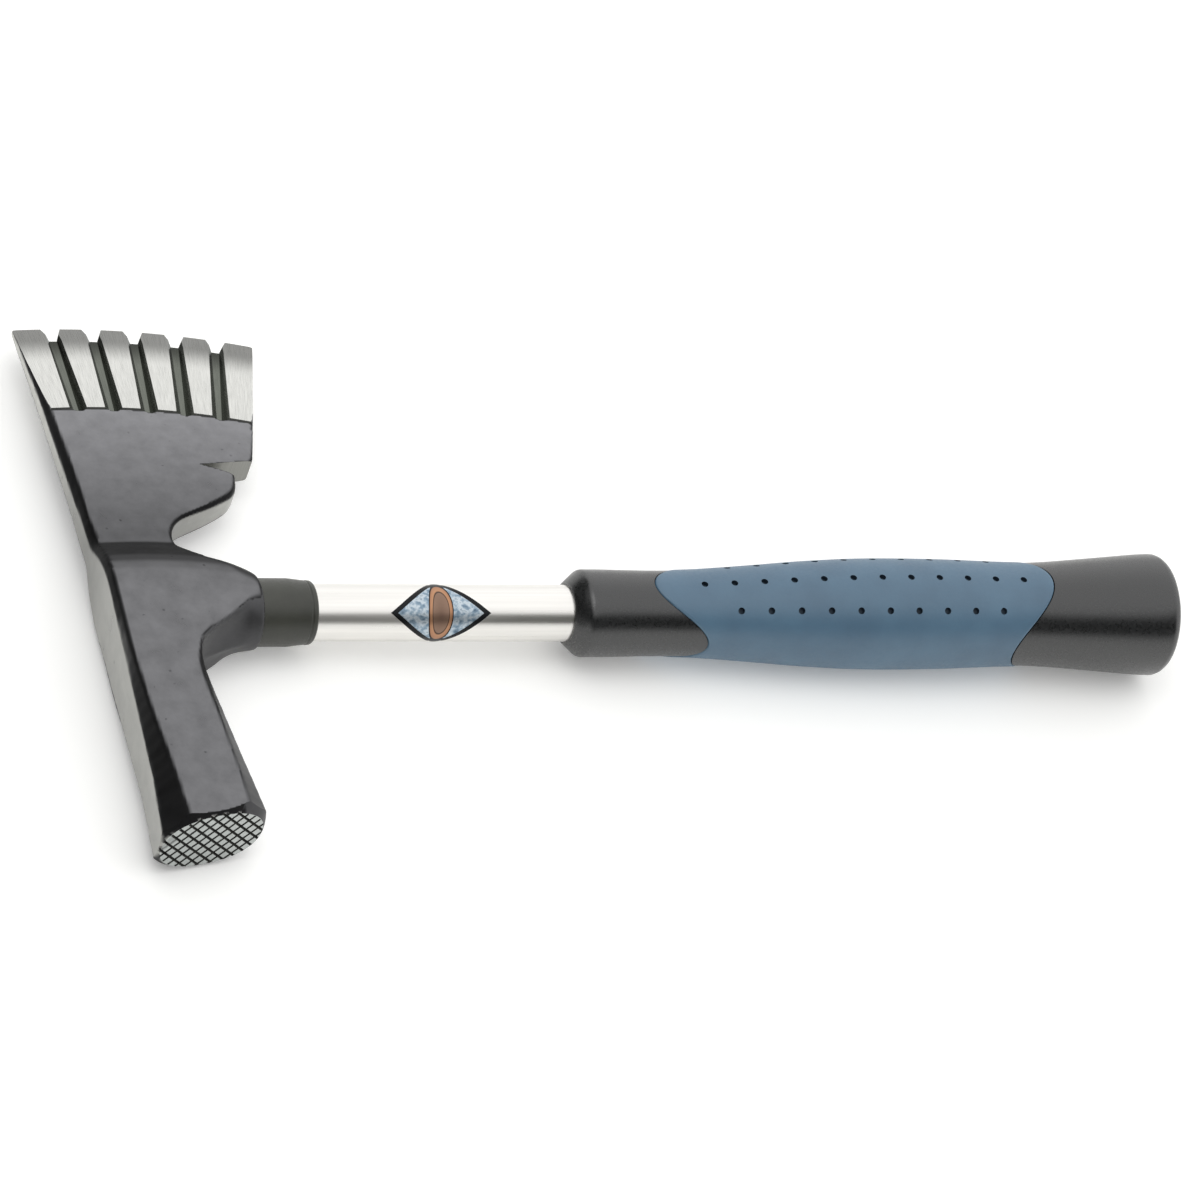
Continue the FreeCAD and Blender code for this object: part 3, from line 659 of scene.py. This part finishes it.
def heel_line():
    """Both ends of the blade's straight handle side, and the direction that points out of it."""
    foot, top = Vector(HEEL_FOOT), Vector(on_fan(EDGE_RADIUS + 4.0, HEEL_ANGLE))
    way = (top - foot).normalized()
    return (foot - way * 1.5, top), Vector((way.y, -way.x))


def heel_trim():
    """Trims the handle side of the blade straight."""
    ends, out = heel_line()
    corners = ((-0.25, -CHEEK), (3.0, -CHEEK), (3.0, CHEEK), (-0.25, CHEEK))
    return skin([[(*(place + out * reach), z) for reach, z in corners] for place in ends])


def heel_break(side):
    """Breaks the edge between the blade's handle side and one cheek."""
    ends, out = heel_line()
    rings = []
    for place in ends:
        top = half_thickness(*place)
        rings.append([(*(place + out * reach), side * (top + rise))
                      for reach, rise in ((-0.7, 1.0), (0.3, -1.1), (2.0, -1.1), (2.0, 1.0))])
    return skin(rings)


def face_frame(across, out, z):
    """A place on the striking face: across the handle way, out of the face and up."""
    c, s = math.cos(FACE_TILT), math.sin(FACE_TILT)
    return (FACE_MIDDLE[0] + across * c + out * s, FACE_MIDDLE[1] + across * s - out * c, z)


def rounded_ring(half_x, half_z, out, power=2.25, count=96):
    """A superellipse parallel to the striking face."""
    ring = []
    for i in range(count):
        angle = 2 * math.pi * i / count
        c, s = math.cos(angle), math.sin(angle)
        ring.append(face_frame(math.copysign(abs(c) ** (2 / power), c) * half_x, out,
                               math.copysign(abs(s) ** (2 / power), s) * half_z))
    return ring


def face_cutter(face_steel, edge_steel):
    """Trims the poll to the tilted face and turns its edge down to a rounded outline."""
    slab = skin([rounded_ring(30.0, 20.0, out) for out in (0.0, 12.0)])
    bevel = skin([rounded_ring(*ring) for ring in ((14.9, 10.2, 1.0), (14.9, 10.2, 0.0), (15.5, 10.7, -0.6),
                                                   (18.0, 13.4, -3.4), (30.0, 20.0, -3.4),
                                                   (30.0, 20.0, 1.0))], row_closed=True)
    return paint(slab, face_steel), paint(bevel, edge_steel)


def waffle_cutter(turn_sign, pitch, dark):
    """Parallel V grooves across the striking face, each a little longer than the face is there."""
    half_width, depth, reach_x, reach_z = 0.42, 0.6, 15.3, 10.7
    c, s = math.cos(math.radians(45.0)), math.sin(math.radians(45.0)) * turn_sign
    bars = []
    for i in range(-6, 7):
        offset = i * pitch
        inside = [u for u in (step / 4 for step in range(-80, 81))
                  if ((u * c - offset * s) / reach_x) ** 2 + ((u * s + offset * c) / reach_z) ** 2 < 1]
        if not inside:
            continue
        rings = []
        for along in (min(inside), max(inside)):
            ring = []
            for sideways, out in ((-half_width, 0.05), (0.0, -depth), (half_width, 0.05), (0.0, 0.6)):
                u, v = along, offset + sideways
                ring.append(face_frame(u * c - v * s, out, u * s + v * c))
            rings.append(ring)
        bars.append(skin(rings))
    return paint(gather(bars), dark)


class OBJECT_OT_hatchet_head(bpy.types.Operator):
    """Forge, grind, mill and emboss the toothed head"""
    bl_idname = "object.hatchet_head"
    bl_label = "Head"

    def execute(self, context):
        s = context.scene.hatchet_head
        lacquer = forged_lacquer(s.lacquer)
        steel = ground_steel("ground_tool_steel", s.steel, 0.30)
        milled = ground_steel("milled_tool_steel", "#6c6f68", 0.24)
        sheared = ground_steel("sheared_tool_steel", "#8e8e8a", 0.35, streaks=False)
        # near-black painted shade along the bevel line and the heel's broken edges
        edge_shade = painted_shade_line("lacquer_edge_painted_shade")
        face = ground_steel("pressed_face_steel", "#b9bdbb", 0.42, streaks=False)
        # near-black painted shade in the waffle grooves
        groove_shade = painted_shade_line("waffle_groove_painted_shade")
        head = head_blank()
        combine(head, socket_blank(), "UNION")
        # the beard's edges are broken wider towards its tip
        lips = []
        for x, y in BEARD[3:]:
            wider = max(x - 30.0, 0.0)
            lips.append((x, y, 0.6 + 0.012 * wider, 0.8 + 0.07 * wider))
        for side in (-1, 1):
            combine(head, thinning(side))
            combine(head, edge_bar(smooth_path(CROWN_EDGE, 3), side, 1.0))
            combine(head, edge_bar(smooth_path(POLL_EDGE, 3), side, -1.0))
            combine(head, edge_bar(smooth_path(lips, 3), side, -1.0, 1.0))
        # voxels and smoothing give the forging its soft edges; what is machined is cut after that
        modify(head, "REMESH", mode="VOXEL", voxel_size=s.grain)
        modify(head, "SMOOTH", factor=0.5, iterations=5)
        paint(head, lacquer)
        combine(head, paint(heel_trim(), lacquer))
        # the heel's broken edges are painted near black as painted shade
        for side in (-1, 1):
            combine(head, paint(heel_break(side), edge_shade))
        for side in (-1, 1):
            combine(head, bevel_cutter(side, steel, edge_shade))
        floor = s.groove_floor / MM
        grooves = [GROOVE_FIRST + GROOVE_PITCH * i for i in range(GROOVES)]
        combine(head, gather([gap_cutter(degrees, floor, milled) for degrees in grooves]))
        for side in (-1, 1):
            combine(head, gather([groove_cutter(degrees, side, floor, milled) for degrees in grooves]))
        combine(head, paint(skin([[(x, y, z) for x, y in NOTCH] for z in (-CHEEK, CHEEK)]), sheared))
        combine(head, paint(eye_cutter(), lacquer))
        for tool in face_cutter(face, lacquer):
            combine(head, tool)
        # the waffle grooves are painted near black as painted shade
        for turn_sign in (-1, 1):
            combine(head, waffle_cutter(turn_sign, s.waffle_pitch / MM, groove_shade))
        keep_main_shell(head)
        mark_draft(head)
        set_down(head, "forged_head", "head", 32.0)
        return {"FINISHED"}


# ---------------------------------------------------------------- handle pieces

class OBJECT_OT_hatchet_tube(bpy.types.Operator):
    """Draw the plated tube from the eye to the butt"""
    bl_idname = "object.hatchet_tube"
    bl_label = "Handle tube"

    def execute(self, context):
        s = context.scene.hatchet_handle
        inner, outer, lead = TUBE_RADIUS - TUBE_WALL, TUBE_RADIUS, 0.4
        section = [(EYE_END + lead, outer), (EYE_END, outer - lead), (EYE_END, inner), (TUBE_END, inner),
                   (TUBE_END, outer - lead), (TUBE_END - lead, outer)]
        tube = turn([(x, 0.0, r) for x, r in section], steps=160)
        set_down(paint(tube, plated_tube(s.plating)), "plated_tube", "handle_tube")
        return {"FINISHED"}


class OBJECT_OT_hatchet_collar(bpy.types.Operator):
    """Mould the collar that covers the mouth of the socket"""
    bl_idname = "object.hatchet_collar"
    bl_label = "Collar"

    def execute(self, context):
        s = context.scene.hatchet_handle
        collar = turn([(x, 0.0, r) for x, r in COLLAR_PROFILE], steps=128)
        finish = moulded("polyethylene", s.collar, "#3d3e37", 0.42, 1500.0, 0.00006)
        set_down(paint(collar, finish), "moulded_collar", "collar", 20.0)
        return {"FINISHED"}


def grip_radius(x):
    """Outer radius of the grip at a distance along the handle."""
    table = GRIP_PROFILE
    if x <= table[0][0]:
        return table[0][1]
    for i, ((x0, r0), (x1, r1)) in enumerate(zip(table, table[1:])):
        if x <= x1:
            xa, ra = table[max(i - 1, 0)]
            xb, rb = table[min(i + 2, len(table) - 1)]
            m0, m1 = (r1 - ra) / (x1 - xa), (rb - r0) / (xb - x0)
            t, span = (x - x0) / (x1 - x0), x1 - x0
            return ((2 * t ** 3 - 3 * t * t + 1) * r0 + (t ** 3 - 2 * t * t + t) * span * m0
                    + (3 * t * t - 2 * t ** 3) * r1 + (t ** 3 - t * t) * span * m1)
    return table[-1][1]


def sleeve_front(theta):
    """Where the sleeve starts: tongues on both cheek sides, hollows between them."""
    return 158.7 + 16.3 * math.sin(theta) ** 2


def sleeve_rear(theta):
    """Where the sleeve ends."""
    return 281.8 - 11.8 * math.sin(theta) ** 2


def round_handle(x, radius, theta):
    """A place on the handle; theta turns from the cheek side towards the striking face."""
    return (x, -radius * math.sin(theta), radius * math.cos(theta))


def sleeve_body(rise, grow, rounding, depth=SLEEVE_DEPTH, count=160, runs=110):
    """The sleeve as a closed band between its wavy front and rear edges."""
    turned = [math.radians(22.5 * step) for step in range(5)]
    corner = [(rounding * (1 - math.cos(angle)), rounding * (1 - math.sin(angle))) for angle in turned]
    rings = []
    for i in range(count):
        theta = 2 * math.pi * i / count
        front, rear = sleeve_front(theta) - grow, sleeve_rear(theta) + grow
        outside = [(front + run, drop) for run, drop in corner]
        outside += [(front + rounding + (rear - front - 2 * rounding) * step / runs, 0.0)
                    for step in range(1, runs)]
        outside += [(rear - run, drop) for run, drop in reversed(corner)]
        loop = [(x, grip_radius(x) + rise - drop) for x, drop in outside]
        inside = [rear + (front - rear) * step / 24 for step in range(25)]
        loop += [(x, grip_radius(x) - depth) for x in inside]
        rings.append([round_handle(x, r, theta) for x, r in loop])
    return skin(rings, row_closed=True)


class OBJECT_OT_hatchet_grip_core(bpy.types.Operator):
    """Mould the hard core of the grip with its front ring and flared butt"""
    bl_idname = "object.hatchet_grip_core"
    bl_label = "Grip core"

    def execute(self, context):
        s = context.scene.hatchet_grip
        front = [(134.8, 8.03), (134.8, 8.6), (135.1, 9.1), (138.2, 11.8), (138.7, 12.15), (139.2, 12.32)]
        body = [(139.6 + 2.1 * i, grip_radius(139.6 + 2.1 * i)) for i in range(86)]
        butt = [(318.6, 17.72), (319.6, 17.35), (320.4, 16.7), (320.9, 15.8), (321.0, 15.0), (320.8, 14.2),
                (320.2, 13.6), (319.9, 12.6), (319.6, 6.0), (319.5, 0.0), (302.1, 0.0), (302.1, 8.03)]
        core = turn([(x, 0.0, r) for x, r in front + body + butt], steps=160)
        combine(core, sleeve_body(3.0, 0.16, 0.0, depth=SLEEVE_DEPTH + 0.02, runs=60))
        finish = moulded("black_polypropylene", s.core, "#0d0f11", 0.3, 1300.0, 0.000012,
                         Specular_IOR_Level=1.0)
        set_down(paint(core, finish), "moulded_core", "grip_core", 28.0)
        return {"FINISHED"}


class OBJECT_OT_hatchet_grip_sleeve(bpy.types.Operator):
    """Mould the soft sleeve with its dimples round the core"""
    bl_idname = "object.hatchet_grip_sleeve"
    bl_label = "Grip sleeve"

    def execute(self, context):
        s = context.scene.hatchet_grip
        soft = moulded("blue_thermoplastic_rubber", s.sleeve, "#4b6d85", 0.46, 1100.0, 0.00006,
                       Specular_IOR_Level=0.8)
        # the dimples' insides get a darker rubber colour as painted shade
        shade = moulded("dimple_painted_shade", "#22303d", "#2b3c4c", 0.6, 1100.0, 0.00005)
        sleeve = paint(sleeve_body(s.proud / MM, 0.0, 0.75), soft)
        bpy.ops.object.select_all(action="DESELECT")
        bpy.ops.mesh.primitive_cylinder_add(vertices=16, radius=s.dimple_radius, depth=3.0 * MM)
        pin = bpy.context.object
        places = []
        for cheek in (0.0, math.pi):
            places += [(173.6 + 8.98 * i, cheek) for i in range(12)]
            for turned in (-38.0, 38.0):
                places += [(183.3 + 8.99 * i, cheek + math.radians(turned)) for i in range(10)]
        pins = []
        for x, theta in places:
            copy = pin.copy()
            copy.data = pin.data.copy()
            context.collection.objects.link(copy)
            copy.location = Vector(round_handle(x, grip_radius(x) + 0.4, theta)) * MM
            copy.rotation_euler = (theta, 0.0, 0.0)
            pins.append(copy)
        bpy.data.objects.remove(pin)
        combine(sleeve, paint(gather(pins), shade))
        set_down(sleeve, "soft_sleeve", "grip_sleeve", 35.0)
        return {"FINISHED"}


# ---------------------------------------------------------------- label

def label_foil_finish():
    """Printed aluminium foil: brushed silver-blue fields, a copper oval and a black printed border."""
    made, tree, shader = material("printed_aluminium_foil", Metallic=0.6, Roughness=0.35)
    place = node(tree, "ShaderNodeUVMap", uv_map="UVMap").outputs["UV"]
    parts = node(tree, "ShaderNodeSeparateXYZ", {0: place})
    u = node(tree, "ShaderNodeMath", {0: parts.outputs["X"]}, operation="ABSOLUTE")
    v = node(tree, "ShaderNodeMath", {0: parts.outputs["Y"]}, operation="ABSOLUTE")
    cloud = node(tree, "ShaderNodeTexNoise", {"Vector": place, "Scale": 7.0, "Detail": 3.0})
    fields = node(tree, "ShaderNodeValToRGB", {0: cloud.outputs["Fac"]},
                  stops=[(0.3, "#54697b"), (0.45, "#8a9fb0"), (0.58, "#c6d0d7"), (0.7, "#8b9ca9")])
    # oval band: distance from the middle in a frame stretched to the oval
    wide = node(tree, "ShaderNodeMath", {0: u.outputs[0], 1: 0.25}, operation="DIVIDE")
    tall = node(tree, "ShaderNodeMath", {0: v.outputs[0], 1: 0.86}, operation="DIVIDE")
    both = node(tree, "ShaderNodeCombineXYZ", {0: wide.outputs[0], 1: tall.outputs[0]})
    oval = node(tree, "ShaderNodeVectorMath", {0: both.outputs[0]}, operation="LENGTH")
    rings = node(tree, "ShaderNodeValToRGB", {0: oval.outputs["Value"]},
                 stops=[(0.0, "#7a6152"), (0.62, "#8a6f5e"), (0.66, "#1a1a1c"), (0.72, "#b98a68"),
                        (0.9, "#a87a5c"), (0.93, "#131316"), (1.0, "#131316")])
    inside = node(tree, "ShaderNodeMath", {0: oval.outputs["Value"], 1: 1.0}, operation="LESS_THAN")
    print_colour = node(tree, "ShaderNodeMix", {0: inside.outputs[0], 6: fields.outputs["Color"],
                                                7: rings.outputs["Color"]}, data_type="RGBA")
    rim = node(tree, "ShaderNodeUVMap", uv_map="Border").outputs["UV"]
    edge = node(tree, "ShaderNodeSeparateXYZ", {0: rim})
    border = node(tree, "ShaderNodeMath", {0: edge.outputs["X"], 1: 0.7}, operation="GREATER_THAN")
    colour = node(tree, "ShaderNodeMix", {0: border.outputs[0], 6: print_colour.outputs[2],
                                          7: linear("#101216")}, data_type="RGBA")
    tree.links.new(colour.outputs[2], shader.inputs["Base Color"])
    return made


def label_width(u):
    """Half the label's width as a share of its widest place, at a share of its half length."""
    diamond = 1.06 * (1 - abs(u))
    bump = 0.25
    oval = math.sqrt(max(0.0, 1 - (u / bump) ** 2)) if abs(u) < bump else 0.0
    return max(min(diamond, 0.9), oval)


class OBJECT_OT_hatchet_label(bpy.types.Operator):
    """Wrap the foil label round the tube"""
    bl_idname = "object.hatchet_label"
    bl_label = "Label"

    def execute(self, context):
        s = context.scene.hatchet_handle
        half, columns, rows = s.label_length / MM / 2, 96, 40
        bpy.ops.object.select_all(action="DESELECT")
        bpy.ops.mesh.primitive_grid_add(x_subdivisions=columns, y_subdivisions=rows)
        label = bpy.context.object
        places, flat = [], []
        for j in range(rows + 1):
            for i in range(columns + 1):
                u, share = 2 * i / columns - 1, 2 * j / rows - 1
                v = share * max(label_width(u), 0.004)
                flat.append((u, v, abs(share)))
                places.append(round_handle(LABEL_MIDDLE + u * half, TUBE_RADIUS + 0.03,
                                           s.label_turn + v * LABEL_WRAP))
        lay(label, places)
        chart = label.data.uv_layers["UVMap"]
        rim = label.data.uv_layers.new(name="Border")
        for corner in label.data.loops:
            u, v, share = flat[corner.vertex_index]
            chart.data[corner.index].uv = (u, v)
            nearness = 1 - (label_width(u) - abs(v)) / 0.5
            rim.data[corner.index].uv = (max(nearness, 0.0), share)
        paint(label, label_foil_finish())
        close_up(label, caps=False)
        modify(label, "SOLIDIFY", thickness=0.12 * MM, offset=0.0)
        set_down(label, "foil_label", "label_foil", 40.0)
        return {"FINISHED"}


class OBJECT_OT_hatchet_inner_parts(bpy.types.Operator):
    """Give the wedge and the tube plug inside the tool their own finishes"""
    bl_idname = "object.hatchet_inner_parts"
    bl_label = "Inner parts"

    def execute(self, context):
        turned = ground_steel("turned_mild_steel", "#b4b4b0", 0.4, streaks=False)
        nylon = moulded("black_nylon", "#1a1b1d", "#222426", 0.5, 900.0, 0.00005)
        paint(frame["nodes"]["eye_wedge"], turned)
        paint(frame["nodes"]["tube_end_plug"], nylon)
        return {"FINISHED"}


# ---------------------------------------------------------------- stage

def world_light():
    """A pale studio: bright above and round the far side, with a dark flag low on the near side."""
    world = bpy.data.worlds.new("studio")
    bpy.context.scene.world = world
    world.use_nodes = True
    tree = world.node_tree
    way = node(tree, "ShaderNodeTexCoord").outputs["Generated"]
    parts = node(tree, "ShaderNodeSeparateXYZ", {0: way})
    side = node(tree, "ShaderNodeVectorMath", {0: way, 1: (-0.8, -0.6, 0.0)}, operation="DOT_PRODUCT")
    flag = node(tree, "ShaderNodeMapRange", {0: side.outputs["Value"], 1: -0.4, 2: -0.1},
                interpolation_type="SMOOTHSTEP")
    height = node(tree, "ShaderNodeValToRGB", {0: parts.outputs["Z"]},
                  stops=[(0.04, "#000000"), (0.12, "#ffffff"), (0.58, "#ffffff"), (0.74, "#000000")])
    dark = node(tree, "ShaderNodeMath", {0: flag.outputs[0], 1: height.outputs["Color"]},
                operation="MULTIPLY")
    sky = node(tree, "ShaderNodeValToRGB", {0: parts.outputs["Z"]},
               stops=[(0.0, "#e1e1e1"), (0.25, "#f9f9f9"), (0.6, "#ffffff"), (1.0, "#f3f3f3")])
    colour = node(tree, "ShaderNodeMix", {0: dark.outputs[0], 6: sky.outputs["Color"],
                                          7: (0.035, 0.035, 0.03, 1.0)}, data_type="RGBA")
    background = tree.nodes["Background"]
    background.inputs["Strength"].default_value = 1.3
    tree.links.new(colour.outputs[2], background.inputs["Color"])


class OBJECT_OT_hatchet_stage(bpy.types.Operator):
    """Lay the floor under the tool and set up camera and light"""
    bl_idname = "object.hatchet_stage"
    bl_label = "Stage"

    def execute(self, context):
        s = context.scene.hatchet_stage
        bpy.ops.object.select_all(action="DESELECT")
        # the tool rests on its butt and on the lower cheek, so the floor leans under it
        lean = math.atan2(HEAD_LOW.z - GRIP_LOW.z, GRIP_HIGH.x - HEAD_LOW.x)
        bpy.ops.mesh.primitive_grid_add(x_subdivisions=8, y_subdivisions=8, size=FLOOR_SIZE,
                                        location=(GRIP_HIGH.x, 0.0, GRIP_LOW.z - FLOOR_GAP),
                                        rotation=(0.0, lean, 0.0))
        floor = bpy.context.object
        floor.name = "floor"
        # painted board, lit a little from behind so that the shadows stay pale
        board, *_ = material("white_table", Base_Color=linear("#f4f4f2"), Roughness=0.9,
                             Emission_Color=linear("#ffffff"), Emission_Strength=0.22)
        paint(floor, board)
        back = Vector((math.sin(s.azimuth) * math.cos(s.elevation),
                       -math.cos(s.azimuth) * math.cos(s.elevation), math.sin(s.elevation)))
        bpy.ops.object.camera_add(location=CAMERA_TARGET + back * s.distance)
        camera = bpy.context.object
        camera.rotation_mode = "QUATERNION"
        look = (-back).to_track_quat("-Z", "Y")
        camera.rotation_quaternion = look @ Quaternion((0.0, 0.0, 1.0), s.roll)
        camera.data.lens = s.lens
        camera.data.sensor_width = 36.0
        context.scene.camera = camera
        world_light()
        context.scene.view_settings.view_transform = "Standard"
        bpy.ops.object.light_add(type="AREA", location=LAMP_PLACE)
        lamp = bpy.context.object
        lamp.rotation_euler = (-LAMP_PLACE).to_track_quat("-Z", "Y").to_euler()
        lamp.data.size = 0.9
        lamp.data.energy = 3.0
        return {"FINISHED"}


class VIEW3D_PT_hatchet(bpy.types.Panel):
    """Buttons for every piece of the hatchet"""
    bl_label = "Hatchet"
    bl_idname = "VIEW3D_PT_hatchet"
    bl_space_type = "VIEW_3D"
    bl_region_type = "UI"
    bl_category = "Hatchet"

    def draw(self, context):
        for piece in OPERATORS:
            self.layout.operator(piece.bl_idname)
        for group in SETTINGS:
            settings = getattr(context.scene, group)
            for key in settings.bl_rna.properties.keys():
                if key not in ("rna_type", "name"):
                    self.layout.prop(settings, key)


SETTINGS = {"hatchet_head": HeadSettings, "hatchet_handle": HandleSettings, "hatchet_grip": GripSettings,
            "hatchet_stage": StageSettings}
OPERATORS = (OBJECT_OT_hatchet_head, OBJECT_OT_hatchet_tube, OBJECT_OT_hatchet_collar,
             OBJECT_OT_hatchet_grip_core, OBJECT_OT_hatchet_grip_sleeve, OBJECT_OT_hatchet_label,
             OBJECT_OT_hatchet_inner_parts, OBJECT_OT_hatchet_stage)


def register():
    for kind in (*SETTINGS.values(), *OPERATORS, VIEW3D_PT_hatchet):
        bpy.utils.register_class(kind)
    for group, kind in SETTINGS.items():
        setattr(bpy.types.Scene, group, bpy.props.PointerProperty(type=kind))


def unregister():
    for group in SETTINGS:
        delattr(bpy.types.Scene, group)
    for kind in reversed((*SETTINGS.values(), *OPERATORS, VIEW3D_PT_hatchet)):
        bpy.utils.unregister_class(kind)


def main():
    register()
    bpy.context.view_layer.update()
    for piece in OPERATORS:
        space, call = piece.bl_idname.split(".")
        getattr(getattr(bpy.ops, space), call)()


if __name__ == "__main__":
    main()
